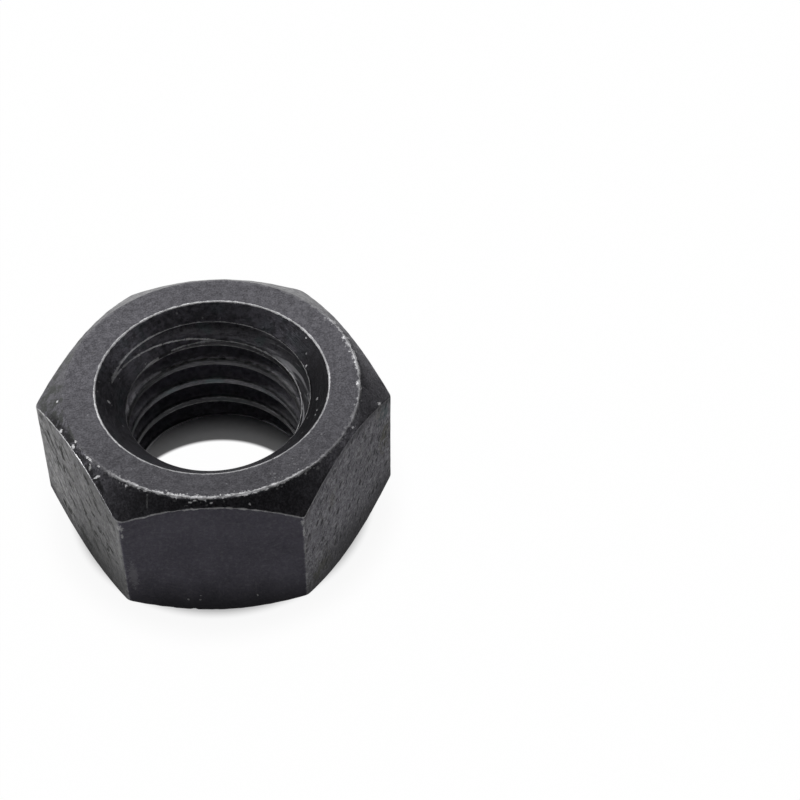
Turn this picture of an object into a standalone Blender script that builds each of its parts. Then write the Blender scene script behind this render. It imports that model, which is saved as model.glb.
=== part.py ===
"""Hexagon nut M18 x 2.5: a steel blank turned at both ends, countersunk and tapped right through."""
from math import cos, pi, radians, sin, tan

import bmesh
import bpy
from mathutils import Vector

MM = 0.001

# Blank
ACROSS_FLATS = 27.0 * MM
HEIGHT = 15.0 * MM
CORNER_RADIUS = 0.4 * MM

# Chamfer turned on both ends: how far the flat ring stays inside the flats, and the slope from the end face
FACE_SETBACK = 0.6 * MM
CHAMFER_SLOPE = radians(39.5)

# Right-hand metric thread: how much steel stands between its roots and the flats, then its form
WALL = 4.5 * MM
THREAD_DIAMETER = ACROSS_FLATS - 2 * WALL
THREAD_PITCH = 2.5 * MM
THREAD_ANGLE = radians(60.0)

# Countersink at both mouths of the bore: how far its rim stands outside the thread, and its full angle
MOUTH_MARGIN = 1.175 * MM
COUNTERSINK_ANGLE = radians(90.0)

# Where the thread starts: the middle of its groove lies at this depth below the top face,
# at this bearing, counted anticlockwise from +X as seen from above
START_DEPTH = 0.96 * MM
START_BEARING = radians(177.5)

# Facets, and how far the bar and the cutters run past the end faces
TURNED_STEPS = 96
BORE_STEPS = 72
CORNER_STEPS = 3
OVERCUT = 1.0 * MM

# The basic profile of a metric thread, worked out from its pitch and angle
THREAD_TRIANGLE = THREAD_PITCH / 2 / tan(THREAD_ANGLE / 2)
GROOVE_FLOOR = THREAD_PITCH / 8
THREAD_RADIUS = THREAD_DIAMETER / 2
DRILL_RADIUS = THREAD_RADIUS - THREAD_TRIANGLE * 5 / 8

# The groove's section opens inside the drilled hole to nearly a whole pitch, so that its turns stay apart
SECTION_MOUTH = THREAD_PITCH * 0.92


def clear_scene():
    for thing in list(bpy.data.objects):
        bpy.data.objects.remove(thing, do_unlink=True)


def add_object(name, mesh):
    thing = bpy.data.objects.new(name, mesh)
    bpy.context.collection.objects.link(thing)
    return thing


def as_cutter(thing):
    thing.hide_render = True
    thing.display_type = "WIRE"
    return thing


def turned(name, profile, steps):
    """A solid of revolution about Z. The profile's (radius, height) points run from its top to its foot."""
    mesh = bpy.data.meshes.new(name)
    points = [(radius, 0.0, height) for radius, height in profile]
    edges = [(i, i + 1) for i in range(len(points) - 1)]
    mesh.from_pydata(points, edges, [])
    thing = add_object(name, mesh)
    screw = thing.modifiers.new("Turn", "SCREW")
    screw.angle = 2 * pi
    screw.steps = steps
    screw.render_steps = steps
    screw.use_merge_vertices = True
    screw.merge_threshold = 0.001 * MM
    return thing


def hexagon_bar():
    """The bar stock, longer than the nut, with one flat facing -Y and its corners rounded."""
    bm = bmesh.new()
    ring = []
    centre_reach = (ACROSS_FLATS / 2 - CORNER_RADIUS) / cos(pi / 6)
    for corner in range(6):
        bearing = corner * pi / 3
        centre = Vector((centre_reach * cos(bearing), centre_reach * sin(bearing), -OVERCUT))
        for step in range(CORNER_STEPS + 1):
            turn = bearing - pi / 6 + step * (pi / 3) / CORNER_STEPS
            ring.append(bm.verts.new(centre + CORNER_RADIUS * Vector((cos(turn), sin(turn), 0.0))))
    foot = bm.faces.new(ring)
    pulled = bmesh.ops.extrude_face_region(bm, geom=[foot])
    top_corners = [item for item in pulled["geom"] if isinstance(item, bmesh.types.BMVert)]
    bmesh.ops.translate(bm, verts=top_corners, vec=(0.0, 0.0, HEIGHT + 2 * OVERCUT))
    bmesh.ops.recalc_face_normals(bm, faces=bm.faces)
    mesh = bpy.data.meshes.new("hex_nut")
    bm.to_mesh(mesh)
    bm.free()
    return add_object("hex_nut", mesh)


def turned_envelope():
    """What the lathe leaves of the bar: both end faces and the chamfer round each."""
    face_radius = ACROSS_FLATS / 2 - FACE_SETBACK
    outer_radius = ACROSS_FLATS / 2 / cos(pi / 6) + OVERCUT
    drop = (outer_radius - face_radius) * tan(CHAMFER_SLOPE)
    profile = [
        (0.0, HEIGHT),
        (face_radius, HEIGHT),
        (outer_radius, HEIGHT - drop),
        (outer_radius, drop),
        (face_radius, 0.0),
        (0.0, 0.0),
    ]
    return as_cutter(turned("turned_envelope", profile, TURNED_STEPS))


def drilled_bore():
    """The tapping drill's hole, with a countersink running out of each mouth."""
    mouth_radius = THREAD_RADIUS + MOUTH_MARGIN
    spread = tan(COUNTERSINK_ANGLE / 2)
    sink_depth = (mouth_radius - DRILL_RADIUS) / spread
    lip_radius = mouth_radius + OVERCUT * spread
    profile = [
        (0.0, HEIGHT + OVERCUT),
        (lip_radius, HEIGHT + OVERCUT),
        (DRILL_RADIUS, HEIGHT - sink_depth),
        (DRILL_RADIUS, sink_depth),
        (lip_radius, -OVERCUT),
        (0.0, -OVERCUT),
    ]
    return as_cutter(turned("drilled_bore", profile, BORE_STEPS))


def tap_groove():
    """The groove that the tap cuts: its section swept down a right-hand helix, past both faces."""
    floor = GROOVE_FLOOR / 2
    mouth = SECTION_MOUTH / 2
    inner_radius = THREAD_RADIUS - (mouth - floor) / tan(THREAD_ANGLE / 2)
    section = [
        (inner_radius, mouth),
        (THREAD_RADIUS, floor),
        (THREAD_RADIUS, -floor),
        (inner_radius, -mouth),
    ]
    step_angle = 2 * pi / BORE_STEPS
    step_drop = THREAD_PITCH / BORE_STEPS
    steps_below = int((HEIGHT + THREAD_PITCH) / step_drop)
    bm = bmesh.new()
    rings = []
    for step in range(-BORE_STEPS, steps_below):
        bearing = START_BEARING - step * step_angle
        middle = HEIGHT - START_DEPTH - step * step_drop
        outward = Vector((cos(bearing), sin(bearing), 0.0))
        ring = []
        for radius, rise in section:
            ring.append(bm.verts.new(outward * radius + Vector((0.0, 0.0, middle + rise))))
        rings.append(ring)
    for upper, lower in zip(rings, rings[1:]):
        for side in range(4):
            after = (side + 1) % 4
            bm.faces.new((upper[side], upper[after], lower[after], lower[side]))
    bm.faces.new(rings[0])
    bm.faces.new(rings[-1])
    bmesh.ops.recalc_face_normals(bm, faces=bm.faces)
    bmesh.ops.triangulate(bm, faces=bm.faces)
    mesh = bpy.data.meshes.new("tap_groove")
    bm.to_mesh(mesh)
    bm.free()
    return as_cutter(add_object("tap_groove", mesh))


def cut(thing, cutter, operation="DIFFERENCE"):
    boolean = thing.modifiers.new(cutter.name, "BOOLEAN")
    boolean.operation = operation
    boolean.solver = "EXACT"
    boolean.object = cutter


def keep_the_cuts(thing):
    """Makes the cut shape the object's own mesh, so that its new edges can be marked sharp."""
    evaluated = thing.evaluated_get(bpy.context.evaluated_depsgraph_get())
    mesh = bpy.data.meshes.new_from_object(evaluated)
    thing.modifiers.clear()
    thing.data = mesh
    mesh.shade_smooth()
    mesh.set_sharp_from_angle(angle=radians(25.0))


def black_steel():
    material = bpy.data.materials.new("black_oxide_steel")
    material.use_nodes = True
    shader = material.node_tree.nodes["Principled BSDF"]
    shader.inputs["Base Color"].default_value = (0.085, 0.085, 0.092, 1.0)
    shader.inputs["Roughness"].default_value = 0.5
    shader.inputs["Metallic"].default_value = 0.8
    return material


def build_nut():
    nut = hexagon_bar()
    nut.data.materials.append(black_steel())
    cut(nut, turned_envelope(), "INTERSECT")
    cut(nut, drilled_bore())
    cut(nut, tap_groove())
    keep_the_cuts(nut)
    return nut


clear_scene()
build_nut()
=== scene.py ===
"""Looks of a steel hexagon nut: black oxide, worn bright along its edges, on a white studio floor."""

from math import cos, pi, radians, sin, tan

import bpy
import numpy as np
from mathutils import Matrix, Vector, noise


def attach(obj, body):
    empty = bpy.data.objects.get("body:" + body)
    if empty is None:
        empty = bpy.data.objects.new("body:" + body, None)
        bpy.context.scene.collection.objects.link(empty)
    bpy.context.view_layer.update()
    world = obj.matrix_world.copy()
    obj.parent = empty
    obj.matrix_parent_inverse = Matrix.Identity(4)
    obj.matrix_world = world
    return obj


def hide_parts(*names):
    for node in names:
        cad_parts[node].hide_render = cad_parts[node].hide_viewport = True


MM = 0.001

# Blank and chamfers, in millimetres, as in the part's source
ACROSS_FLATS = 27.0
HEIGHT = 15.0
CORNER_RADIUS = 0.42
FACE_RADIUS = 12.9
CHAMFER_SLOPE = radians(39.5)

# Thread and countersinks
PITCH = 2.5
ROOT_RADIUS = 9.0
DRILL_RADIUS = 7.6468
FLANK_LEAN = tan(radians(30.0))
ROOT_HALF = PITCH / 16
ROOT_SHARE = 0.0625
CREST_SHARE = 0.375
MOUTH_RADIUS = 10.175
START_DEPTH = 0.96
START_BEARING = 177.5

# Small roundings of the edges
MOUTH_ROUNDING = 0.07
RIM_ROUNDING = 0.09
ARC_ROUNDING = 0.07
LIP_ROUNDING = 0.035
CREST_ROUNDING = 0.14

# How far from each end face the vertical corners begin, and how soon the dips of worn edges fade out
CORNER_TOP = 2.1
DIP_FADE = 0.25

# How finely the mesh is cut
BORE_COLUMNS = 380
BORE_TURNS = range(-2, 7)
BORE_MARGIN = 0.03
JOIN_RADIUS_BORE = 11.2
JOIN_RADIUS_OUTER = 11.7
CORNER_STEPS = [0.0, 0.13, 0.27, 0.41, 0.55, 0.68, 0.80, 0.95, 1.15, 1.45, 1.9, 2.5, 3.2, 4.0]
FLAT_STEPS = 30
FLAT_ROWS = 22
FAR = 9.0
DIAGONAL = 0.7071

# How much the rim of the face is rubbed bright, from bearing 0 on in steps of so many degrees
WEAR_STEP = 15.0
RIM_WEAR = [
    0.6, 0.85, 0.65, 0.25, 0.15, 0.08, 0.06, 0.05, 0.0, 0.05, 0.05, 0.05,
    0.03, 0.0, 0.05, 0.2, 0.6, 0.9, 0.85, 1.0, 0.7, 0.4, 0.2, 0.35,
]

# How bright the edge between the chamfer and the flats is, by the same steps
ARC_WEAR = [
    0.1, 0.3, 0.4, 0.4, 0.5, 0.4, 0.4, 0.4, 0.5, 0.4, 0.4, 0.5,
    0.7, 0.95, 0.9, 0.3, 0.4, 0.8, 0.6, 0.85, 0.7, 0.08, 0.05, 0.08,
]

# How bright the edge of the bore's mouth is, by the same steps
MOUTH_WEAR = [
    0.85, 0.55, 0.8, 0.75, 0.85, 0.85, 1.15, 1.2, 1.3, 1.0, 0.95, 0.65,
    0.8, 1.3, 0.8, 0.8, 0.6, 0.45, 0.5, 0.5, 0.5, 0.35, 0.45, 0.4,
]

# How each flat looks, from the one whose outward normal points at 30 degrees and on anticlockwise
FLAT_STREAKS = [0.25, 0.15, 0.8, 1.0, 0.0, 0.1]
FLAT_PITS = [0.7, 0.3, 0.2, 0.15, 0.05, 1.0]

# The photograph's camera
PICTURE_SIDE = 800
FOCAL_PIXELS = 2068.8
CAMERA_TILT = radians(47.72)
CAMERA_TURN = radians(2.55)
CAMERA_ROLL = radians(0.26)
NUT_RIGHT, NUT_DOWN, NUT_AHEAD = -16.34, 3.67, 185.17
SENSOR_WIDTH = 36.0

# The studio, in millimetres
FLOOR_SIDE = 3000.0
UNDER_NUT = 12.0
# Centre of the pool of light painted on the floor inside the bore
BRIGHT_SPOT = (-0.45, -2.27, 0.0)
FLAG_DISTANCE = 260.0
LAMP_AIM = (0, 0, 8)


# Shape of the nut


def ripple(points, size, seed):
    """Smooth noise from about -1 to 1 at each point, with swells about the given size across."""
    shift = Vector((seed * 7.31, seed * 3.77, seed * 5.13))
    return np.array([noise.noise(Vector(p) / size + shift) for p in points])


def ring_points(radius, bearings, height):
    """Points on a ring, one for each bearing in radians."""
    across = np.broadcast_to(radius, bearings.shape)
    up = np.broadcast_to(height, bearings.shape)
    return np.stack([across * np.cos(bearings), across * np.sin(bearings), up], axis=1)


def outer_bearings():
    """Bearings of the outer columns in radians, close together round each corner."""
    flat = np.linspace(CORNER_STEPS[-1], 30.0, FLAT_STEPS + 1)[1:]
    half = np.concatenate([CORNER_STEPS, flat])
    degrees = []
    for corner in range(6):
        degrees.extend(corner * 60.0 + half)
        degrees.extend(corner * 60.0 - half[1:-1])
    return np.radians(np.sort(np.array(degrees) % 360.0))


def corner_offset(bearings):
    """Angle of each bearing from the nearest corner."""
    return (bearings + pi / 6) % (pi / 3) - pi / 6


def hexagon_reach(bearings, corner_radius):
    """How far the flats and their rounded corners stand from the axis."""
    off = np.abs(corner_offset(bearings))
    flat = ACROSS_FLATS / 2 / np.cos(pi / 6 - off)
    centre = (ACROSS_FLATS / 2 - corner_radius) / cos(pi / 6)
    ends = np.arctan2(corner_radius * 0.5, centre + corner_radius * cos(pi / 6))
    inside = np.sqrt(np.maximum(corner_radius ** 2 - (centre * np.sin(off)) ** 2, 0.0))
    return np.where(off < ends, centre * np.cos(off) + inside, flat)


def worn_corner_radius(bearings, height):
    """The radius of each vertical edge at one height: blunted a little, more in some places than others."""
    corner = np.round(bearings / (pi / 3)) % 6
    wear = np.empty(6)
    for k in range(6):
        swell = noise.noise(Vector((k * 4.3, 1.7, height / 1.6)))
        wear[k] = max(0.0, swell) * 0.5 + 0.10 * (1 + noise.noise(Vector((k * 2.1, 8.2, height / 0.5))))
    # The corner at 240 degrees is knocked flat just below its chamfer
    wear[4] += 1.6 * np.exp(-max(0.0, HEIGHT - 2.2 - height) / 0.45)
    return CORNER_RADIUS + wear[corner.astype(int)] * 0.45


def by_bearing(values, bearings):
    """One of the lists of wear by bearing, read between its steps."""
    closed = np.append(values, values[0])
    return np.interp(np.degrees(bearings) % 360.0, np.arange(len(closed)) * WEAR_STEP, closed)


def bent(point, before, after, reach, steps):
    """Rows round an edge: a smooth curve from `reach` before the edge to `reach` after it."""
    start = (point[0] + before[0] * reach, point[1] + before[1] * reach)
    end = (point[0] + after[0] * reach, point[1] + after[1] * reach)
    rows = []
    for t in np.linspace(0.0, 1.0, steps):
        parts = ((1 - t) ** 2, 2 * t * (1 - t), t ** 2)
        rows.append(tuple(parts[0] * start[i] + parts[1] * point[i] + parts[2] * end[i] for i in (0, 1)))
    return rows


def end_rows(bearings, seed):
    """Rows of (radius, depth, zone, rim gap, arc gap) from the joining ring out to the flats."""
    ring = ring_points(FACE_RADIUS, bearings, seed * 3.0)
    slope = tan(CHAMFER_SLOPE)
    rim = FACE_RADIUS + 0.035 * ripple(ring, 2.2, seed) + 0.03 * ripple(ring, 0.5, seed + 1)
    nicks = np.maximum(ripple(ring, 0.8, seed + 2) - 0.32, 0.0)
    rim = rim - 0.28 * nicks - 0.2 * np.maximum(by_bearing(RIM_WEAR, bearings) - 0.3, 0.0)
    corner_height = HEIGHT - CORNER_TOP if seed == 1 else CORNER_TOP
    reach = hexagon_reach(bearings, worn_corner_radius(bearings, corner_height))
    rim_dip = (FACE_RADIUS - rim) * slope
    arc_dip = 0.05 * np.minimum(ripple(ring, 0.7, seed + 3), 0.2) + 0.03 * ripple(ring, 2.5, seed + 4)
    # The arc over the front flat has small knocks
    knocked = np.exp(-((np.degrees(bearings) % 360.0 - 258.0) / 13.0) ** 2)
    arc_dip = arc_dip + 0.34 * knocked * np.maximum(ripple(ring, 0.6, seed + 7) - 0.02, 0.0)

    def cone_depth(radius):
        near_rim = rim_dip * np.exp(-(radius - rim) / DIP_FADE)
        near_arc = arc_dip * np.exp(-(reach - radius) / DIP_FADE)
        return (radius - FACE_RADIUS) * slope + near_rim + near_arc

    arc_depth = cone_depth(reach)
    lean = np.hypot(1.0, slope)
    outward = (1 / lean, slope / lean)
    zero = np.zeros_like(bearings)
    rows = []
    for radius in (JOIN_RADIUS_OUTER, 12.15, 12.45, 12.66):
        rows.append((zero + radius, zero, "face", rim - radius, zero + FAR))
    rim_reach = RIM_ROUNDING * (1 + 0.5 * ripple(ring, 1.1, seed + 5))
    for i, (radius, depth) in enumerate(bent((rim, zero), (-1.0, 0.0), outward, rim_reach, 5)):
        rows.append((radius, depth, "face" if i < 2 else "chamfer", zero + abs(i - 2) * 0.03, zero + FAR))
    length = np.hypot(reach - rim, arc_depth)
    arc_reach = np.minimum(ARC_ROUNDING * (1 + 0.6 * ripple(ring, 1.3, seed + 6)), length * 0.3)
    tilt = ((reach - rim) / length, arc_depth / length)
    for share in (0.05, 0.15, 0.3, 0.5, 0.7, 0.86, 0.96):
        along = rim_reach + (length - rim_reach - arc_reach) * share
        radius = rim + tilt[0] * along
        rows.append((radius, cone_depth(radius), "chamfer", along, length - along))
    back = (-tilt[0], -tilt[1])
    for i, (radius, depth) in enumerate(bent((reach, arc_depth), back, (0.0, 1.0), arc_reach, 5)):
        rows.append((radius, depth, "chamfer" if i < 2 else "flat", length, zero + abs(i - 2) * 0.03))
    return rows, arc_depth + arc_reach


def flat_rows(bearings, top_depth, low_depth):
    """Rows down the flats, between the chamfers at both ends."""
    even = np.linspace(0.0, 1.0, FLAT_ROWS)[1:-1]
    # A little closer together near both ends
    shares = 0.65 * even + 0.35 * (0.5 - 0.5 * np.cos(pi * even))
    rows = []
    for share in shares:
        depth = top_depth + (HEIGHT - low_depth - top_depth) * share
        corner_height = HEIGHT - CORNER_TOP - (HEIGHT - 2 * CORNER_TOP) * share
        radius = hexagon_reach(bearings, worn_corner_radius(bearings, corner_height))
        swell = ripple(ring_points(radius, bearings, HEIGHT - depth), 3.5, 9)
        radius = radius - 0.02 * (1 + swell) * np.minimum(1.0, 4 * share * (1 - share))
        arc = np.minimum(depth - top_depth, HEIGHT - low_depth - depth) + ARC_ROUNDING
        rows.append((radius, depth, "flat", np.full_like(bearings, FAR), arc))
    return rows


def thread_phases():
    """Rows of one pitch, as a share of the pitch from the middle of the groove."""
    half = [0.0, 0.045, ROOT_SHARE, 0.08, 0.14, 0.20, 0.26, 0.32, 0.36, CREST_SHARE, 0.395, 0.44, 0.5]
    return sorted({-p for p in half[1:-1]} | set(half))


def ridge_phases(middle_depth):
    """Phases at which a countersink meets the thread, for a groove whose middle lies at the given depths."""
    found = []
    for way in (1, -1):
        middle = middle_depth if way == 1 else HEIGHT - middle_depth
        reach = MOUTH_RADIUS - middle
        rest = reach - ROOT_RADIUS - ROOT_HALF / FLANK_LEAN
        before = rest / (1 + 1 / FLANK_LEAN) / PITCH
        after = rest / (1 - 1 / FLANK_LEAN) / PITCH
        root = (reach - ROOT_RADIUS) / PITCH
        crest = (reach - DRILL_RADIUS) / PITCH
        found.append(way * np.where((before > -CREST_SHARE) & (before < -ROOT_SHARE), before, FAR))
        found.append(way * np.where((after > ROOT_SHARE) & (after < CREST_SHARE), after, FAR))
        found.append(way * np.where(np.abs(root) < ROOT_SHARE, root, FAR))
        found.append(way * np.where((np.abs(crest) > CREST_SHARE) & (np.abs(crest) < 0.5), crest, FAR))
    return found


def snapped(phase, before, after, ridges):
    """The phase of one row in each column, moved onto a ridge where that passes close by."""
    moved = np.full_like(ridges[0], phase)
    for ridge in ridges:
        near = (ridge > (before + phase) / 2) & (ridge <= (phase + after) / 2)
        moved = np.where(near, ridge, moved)
    return moved


def smooth_greater(a, b, rounding):
    """The greater of two values, with the crossing between them rounded."""
    near = np.maximum(rounding - np.abs(a - b), 0.0) / rounding
    return np.maximum(a, b) + near * near * rounding / 4


def bore_radius(phase, depth):
    """Radius of the bore's wall, its gap to the nearest ridge and how deep it lies in the groove.

    phase counts pitches from the middle of the groove.
    """
    run = np.abs(phase) * PITCH
    flank = ROOT_RADIUS - (run - ROOT_HALF) / FLANK_LEAN
    groove = flank - (smooth_greater(flank, ROOT_RADIUS + 0 * flank, 0.10) - ROOT_RADIUS)
    drill = DRILL_RADIUS + 0 * depth
    upper_cone = depth < HEIGHT / 2
    cone = MOUTH_RADIUS - np.where(upper_cone, depth, HEIGHT - depth)
    plain = smooth_greater(drill, cone, LIP_ROUNDING)
    radius = smooth_greater(plain, groove, np.where(cone > drill, LIP_ROUNDING, CREST_ROUNDING))
    # How fast each surface moves outwards on the way down, which turns a step in radius into a gap along it
    cone_lean = np.where(upper_cone, -1.0, 1.0)
    plain_lean = np.where(cone > drill, cone_lean, 0.0)
    groove_lean = np.where(phase > 0, -1 / FLANK_LEAN, 1 / FLANK_LEAN)
    own_lean = np.where(plain > groove, plain_lean, groove_lean)
    ridge = np.abs(plain - groove) / np.abs(plain_lean - groove_lean) * np.hypot(1.0, own_lean)
    lip = np.where(plain > groove, np.abs(cone - drill) * np.hypot(1.0, plain_lean), FAR)
    return radius, np.minimum(ridge, lip), np.maximum(groove - plain, 0.0)


class NutMesh:
    """Collects the nut's points, faces, zones and edge gaps."""

    gap_names = ("mouth_gap", "rim_gap", "arc_gap", "ridge_gap", "groove_depth")
    zones = ("face", "chamfer", "flat", "thread")

    def __init__(self):
        self.points = []
        self.gaps = {name: [] for name in self.gap_names}
        self.faces = []
        self.face_zones = []
        self.count = 0

    def add_row(self, points, **gaps):
        """Adds one row of points and gives their numbers."""
        self.points.append(points)
        for name in self.gap_names:
            value = gaps.get(name, FAR)
            self.gaps[name].append(np.broadcast_to(value, len(points)))
        first = self.count
        self.count += len(points)
        return np.arange(first, self.count)

    def add_face(self, corners, zone):
        """Adds one face, unless it shrinks to a line because some of its corners are the same point."""
        kept = list(dict.fromkeys(int(corner) for corner in corners))
        if len(kept) > 2:
            self.faces.append(kept)
            self.face_zones.append(zone)

    def add_strip(self, upper, lower, zone):
        """Faces between two closed rows with as many points."""
        for corners in zip(upper, lower, np.roll(lower, -1), np.roll(upper, -1)):
            self.add_face(corners, zone)

    def add_seam(self, inner, inner_at, outer, outer_at, upward):
        """Triangles between two closed rings with different numbers of points."""
        i = j = 0
        while i < len(inner) or j < len(outer):
            here, there = int(inner[i % len(inner)]), int(outer[j % len(outer)])
            next_inner = inner_at[(i + 1) % len(inner)] + (2 * pi if i + 1 >= len(inner) else 0.0)
            next_outer = outer_at[(j + 1) % len(outer)] + (2 * pi if j + 1 >= len(outer) else 0.0)
            if j >= len(outer) or (i < len(inner) and next_inner <= next_outer):
                i += 1
                face = [here, there, int(inner[i % len(inner)])]
            else:
                j += 1
                face = [here, there, int(outer[j % len(outer)])]
            self.add_face(face if upward else face[::-1], "face")


def add_bore(nut, bearings):
    """The threaded wall, in rows that follow the thread, so that every ridge is a clean line."""
    phases = thread_phases()[:-1]
    per_turn = len(phases)
    top_depth = MOUTH_ROUNDING
    low_depth = HEIGHT - MOUTH_ROUNDING
    lead = START_DEPTH + PITCH * (START_BEARING - np.degrees(bearings)) / 360.0
    rows = []
    rings = []
    for depth in (top_depth, low_depth):
        ring = ring_points(MOUTH_RADIUS - top_depth, bearings, HEIGHT - depth)
        rings.append(nut.add_row(ring, mouth_gap=top_depth, groove_depth=0.0))
    top, low = rings
    befores = np.append(phases[-1] - 1.0, phases[:-1])
    afters = np.append(phases[1:], 0.5)
    for turn in BORE_TURNS:
        ridges = ridge_phases(lead + PITCH * turn)
        for before, fixed, after in zip(befores, phases, afters):
            phase = snapped(fixed, before, after, ridges)
            depth = lead + PITCH * (turn + phase)
            above = depth < top_depth + BORE_MARGIN
            below = depth > low_depth - BORE_MARGIN
            radius, ridge, sunk = bore_radius(phase, np.clip(depth, top_depth, low_depth))
            numbers = np.where(above, top, low)
            between = ~(above | below)
            numbers[between] = nut.add_row(
                ring_points(radius, bearings, HEIGHT - depth)[between],
                ridge_gap=ridge[between],
                groove_depth=sunk[between],
                mouth_gap=(np.minimum(depth, HEIGHT - depth) * 2 * DIAGONAL)[between],
            )
            rows.append(numbers)
    for number, (upper, lower) in enumerate(zip(rows, rows[1:])):
        # Past the last column a row carries on as the row one turn further up
        far_upper = rows[number - per_turn] if number >= per_turn else top
        far_lower = rows[number + 1 - per_turn] if number + 1 >= per_turn else top
        next_upper = np.append(upper[1:], far_upper[0])
        next_lower = np.append(lower[1:], far_lower[0])
        for corners in zip(upper, next_upper, next_lower, lower):
            nut.add_face(corners, "thread")
    return top, low


def add_mouth(nut, bearings, ring, seed):
    """The worn edge of the bore's mouth at one end, and the face inside the joining ring."""
    top = seed == 1
    at = ring_points(MOUTH_RADIUS, bearings, seed * 5.0)
    worn = MOUTH_RADIUS + 0.012 * ripple(at, 1.5, seed + 20) + 0.012 * ripple(at, 0.5, seed + 21)
    edge = bent((worn, 0 * worn), (-DIAGONAL, DIAGONAL), (1.0, 0.0), MOUTH_ROUNDING * 1.2, 5)
    rows = []
    for i, (radius, depth) in enumerate(edge):
        rows.append((radius, depth, {"mouth_gap": abs(i - 2) * 0.025, "groove_depth": 0.0}))
    for radius in (MOUTH_RADIUS + 0.3, JOIN_RADIUS_BORE):
        rows.append((radius, 0.0, {"mouth_gap": radius - MOUTH_RADIUS}))
    for i, (radius, depth, gaps) in enumerate(rows):
        row = nut.add_row(ring_points(radius, bearings, HEIGHT - depth if top else depth), **gaps)
        nut.add_strip(*((ring, row) if top else (row, ring)), "thread" if i < 2 else "face")
        ring = row
    return ring


def add_outside(nut, bearings):
    """Rim, chamfer and flats, from the top joining ring to the low one."""
    upper, top_depth = end_rows(bearings, 1)
    lower, low_depth = end_rows(bearings, 2)
    rows = []
    for radius, depth, *rest in upper + flat_rows(bearings, top_depth, low_depth):
        rows.append((radius, HEIGHT - depth, *rest))
    rows.extend(reversed(lower))
    numbers = []
    for radius, height, _, rim, arc in rows:
        ring = ring_points(radius, bearings, height)
        mouth = np.maximum(radius - MOUTH_RADIUS, 0.0)
        numbers.append(nut.add_row(ring, rim_gap=rim, arc_gap=arc, mouth_gap=mouth))
    for i in range(len(rows) - 1):
        ranks = [nut.zones.index(rows[i][2]), nut.zones.index(rows[i + 1][2])]
        nut.add_strip(numbers[i], numbers[i + 1], nut.zones[min(ranks)])
    return numbers[0], numbers[-1]


def nut_mesh():
    """The whole closed surface of the nut, with its edge gaps and flats' looks as attributes."""
    nut = NutMesh()
    bore = np.radians(np.arange(BORE_COLUMNS) * 360.0 / BORE_COLUMNS)
    outside = outer_bearings()
    top, low = add_bore(nut, bore)
    top_inner = add_mouth(nut, bore, top, 1)
    low_inner = add_mouth(nut, bore, low, 2)
    top_outer, low_outer = add_outside(nut, outside)
    nut.add_seam(top_inner, bore, top_outer, outside, True)
    nut.add_seam(low_inner, bore, low_outer, outside, False)
    points = np.concatenate(nut.points)
    mesh = bpy.data.meshes.new("steel_nut")
    mesh.from_pydata((points * MM).tolist(), [], nut.faces)
    mesh.polygons.foreach_set("material_index", [nut.zones.index(zone) for zone in nut.face_zones])
    for name in nut.gap_names:
        put_attribute(mesh, name, np.concatenate(nut.gaps[name]))
    bearings = np.arctan2(points[:, 1], points[:, 0])
    radius = np.hypot(points[:, 0], points[:, 1])
    for name, wear in (("rim_wear", RIM_WEAR), ("mouth_wear", MOUTH_WEAR), ("arc_wear", ARC_WEAR)):
        put_attribute(mesh, name, by_bearing(wear, bearings))
    put_attribute(mesh, "corner_gap", np.abs(np.sin(corner_offset(bearings))) * radius)
    flat = np.floor((bearings % (2 * pi)) / (pi / 3)).astype(int) % 6
    put_attribute(mesh, "streaks", np.array(FLAT_STREAKS)[flat])
    put_attribute(mesh, "pits", np.array(FLAT_PITS)[flat])
    mesh.shade_smooth()
    mesh.validate()
    mesh.update()
    return mesh


def in_scene(name, data):
    """A new object in the scene, made from its mesh, light or camera data."""
    thing = bpy.data.objects.new(name, data)
    bpy.context.scene.collection.objects.link(thing)
    return thing


def bare_material(name):
    """A new material that has no nodes yet."""
    material = bpy.data.materials.new(name)
    material.use_nodes = True
    material.node_tree.nodes.clear()
    return material


def put_attribute(mesh, name, values):
    made = mesh.attributes.new(name, "FLOAT", "POINT")
    made.data.foreach_set("value", values.astype(np.float32))


# Node wiring


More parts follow.
